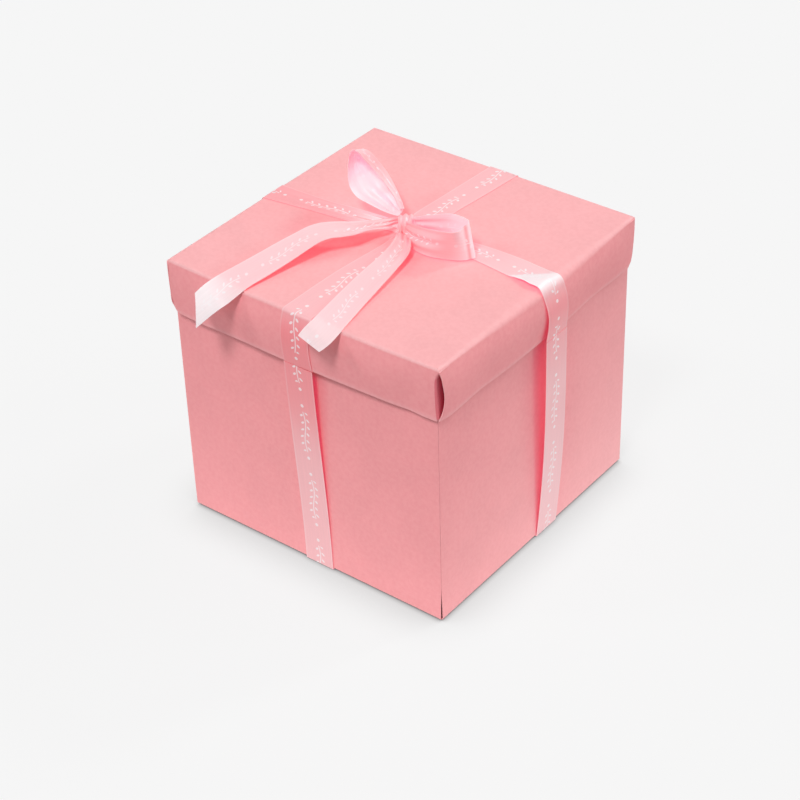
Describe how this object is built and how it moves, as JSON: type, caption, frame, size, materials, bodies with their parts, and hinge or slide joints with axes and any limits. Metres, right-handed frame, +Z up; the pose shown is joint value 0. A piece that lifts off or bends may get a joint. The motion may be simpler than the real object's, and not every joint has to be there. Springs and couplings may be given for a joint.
{
  "type": "explosion gift box",
  "caption": "Cubic card gift box tied with a satin ribbon bow; as the lid lifts off, its layered walls fall open flat around a small middle box.",
  "frame": {"origin": "under the middle of the box, on the surface that it stands on", "axes": "+Z up, -Y out of the front wall, +X out of the right wall"},
  "size_m": [0.181, 0.1987, 0.2047],
  "materials": {
    "pink_card": "matte uncoated card",
    "inner_card": "matte uncoated card",
    "satin_ribbon": "satin sheen"
  },
  "bodies": {
    "root": {"outer_base": "pink_card", "inner_base": "inner_card", "centre_box": "pink_card", "ribbon_under_cross": "satin_ribbon"},
    "lid": {"lid": "pink_card", "ribbon_cross_strand": "satin_ribbon", "ribbon_long_strand": "satin_ribbon", "ribbon_knot": "satin_ribbon", "ribbon_rear_loop": "satin_ribbon", "ribbon_right_loop": "satin_ribbon", "ribbon_long_tail": "satin_ribbon", "ribbon_front_tail": "satin_ribbon"},
    "centre_lid": {"centre_box_lid": "pink_card"},
    "outer_front": {"outer_front_wall": "pink_card"},
    "outer_right": {"outer_right_wall": "pink_card"},
    "outer_back": {"outer_back_wall": "pink_card"},
    "outer_left": {"outer_left_wall": "pink_card"},
    "inner_front": {"inner_front_wall": "inner_card"},
    "inner_right": {"inner_right_wall": "inner_card"},
    "inner_back": {"inner_back_wall": "inner_card"},
    "inner_left": {"inner_left_wall": "inner_card"},
    "ribbon_front": {"ribbon_front_strand": "satin_ribbon"},
    "ribbon_right": {"ribbon_right_strand": "satin_ribbon"},
    "ribbon_back": {"ribbon_back_strand": "satin_ribbon"},
    "ribbon_left": {"ribbon_left_strand": "satin_ribbon"}
  },
  "joints": [
    {"name": "lid_lift", "type": "slide", "parent": "root", "child": "lid", "axis": [0, 0, 1], "range_m": [0, 0.6]},
    {"name": "centre_lid_lift", "type": "slide", "parent": "root", "child": "centre_lid", "axis": [0, 0, 1], "range_m": [0, 0.1]},
    {"name": "outer_front_fall", "type": "hinge", "parent": "root", "child": "outer_front", "pos_m": [0, -0.088, 0.00055], "axis": [1, 0, 0], "range_deg": [0, 90]},
    {"name": "outer_right_fall", "type": "hinge", "parent": "root", "child": "outer_right", "pos_m": [0.088, 0, 0.00055], "axis": [0, 1, 0], "range_deg": [0, 90]},
    {"name": "outer_back_fall", "type": "hinge", "parent": "root", "child": "outer_back", "pos_m": [0, 0.088, 0.00055], "axis": [-1, 0, 0], "range_deg": [0, 90]},
    {"name": "outer_left_fall", "type": "hinge", "parent": "root", "child": "outer_left", "pos_m": [-0.088, 0, 0.00055], "axis": [0, -1, 0], "range_deg": [0, 90]},
    {"name": "inner_front_fall", "type": "hinge", "parent": "root", "child": "inner_front", "pos_m": [0, -0.0755, 0.00135], "axis": [1, 0, 0], "range_deg": [0, 90]},
    {"name": "inner_right_fall", "type": "hinge", "parent": "root", "child": "inner_right", "pos_m": [0.0755, 0, 0.00135], "axis": [0, 1, 0], "range_deg": [0, 90]},
    {"name": "inner_back_fall", "type": "hinge", "parent": "root", "child": "inner_back", "pos_m": [0, 0.0755, 0.00135], "axis": [-1, 0, 0], "range_deg": [0, 90]},
    {"name": "inner_left_fall", "type": "hinge", "parent": "root", "child": "inner_left", "pos_m": [-0.0755, 0, 0.00135], "axis": [0, -1, 0], "range_deg": [0, 90]},
    {"name": "ribbon_front_fall", "type": "hinge", "parent": "root", "child": "ribbon_front", "pos_m": [0, -0.08855, 0], "axis": [1, 0, 0], "range_deg": [0, 89.15]},
    {"name": "ribbon_right_fall", "type": "hinge", "parent": "root", "child": "ribbon_right", "pos_m": [0.08855, 0, 0], "axis": [0, 1, 0], "range_deg": [0, 89.15]},
    {"name": "ribbon_back_fall", "type": "hinge", "parent": "root", "child": "ribbon_back", "pos_m": [0, 0.08855, 0], "axis": [-1, 0, 0], "range_deg": [0, 89.15]},
    {"name": "ribbon_left_fall", "type": "hinge", "parent": "root", "child": "ribbon_left", "pos_m": [-0.08855, 0, 0], "axis": [0, -1, 0], "range_deg": [0, 89.15]}
  ],
  "couplings": [
    {"joint": "outer_front_fall", "follows": "lid_lift", "rad_per_m": 2.618},
    {"joint": "outer_right_fall", "follows": "lid_lift", "rad_per_m": 2.618},
    {"joint": "outer_back_fall", "follows": "lid_lift", "rad_per_m": 2.618},
    {"joint": "outer_left_fall", "follows": "lid_lift", "rad_per_m": 2.618},
    {"joint": "inner_front_fall", "follows": "lid_lift", "rad_per_m": 2.618},
    {"joint": "inner_right_fall", "follows": "lid_lift", "rad_per_m": 2.618},
    {"joint": "inner_back_fall", "follows": "lid_lift", "rad_per_m": 2.618},
    {"joint": "inner_left_fall", "follows": "lid_lift", "rad_per_m": 2.618},
    {"joint": "ribbon_front_fall", "follows": "lid_lift", "rad_per_m": 2.5932},
    {"joint": "ribbon_right_fall", "follows": "lid_lift", "rad_per_m": 2.5932},
    {"joint": "ribbon_back_fall", "follows": "lid_lift", "rad_per_m": 2.5932},
    {"joint": "ribbon_left_fall", "follows": "lid_lift", "rad_per_m": 2.5932}
  ]
}
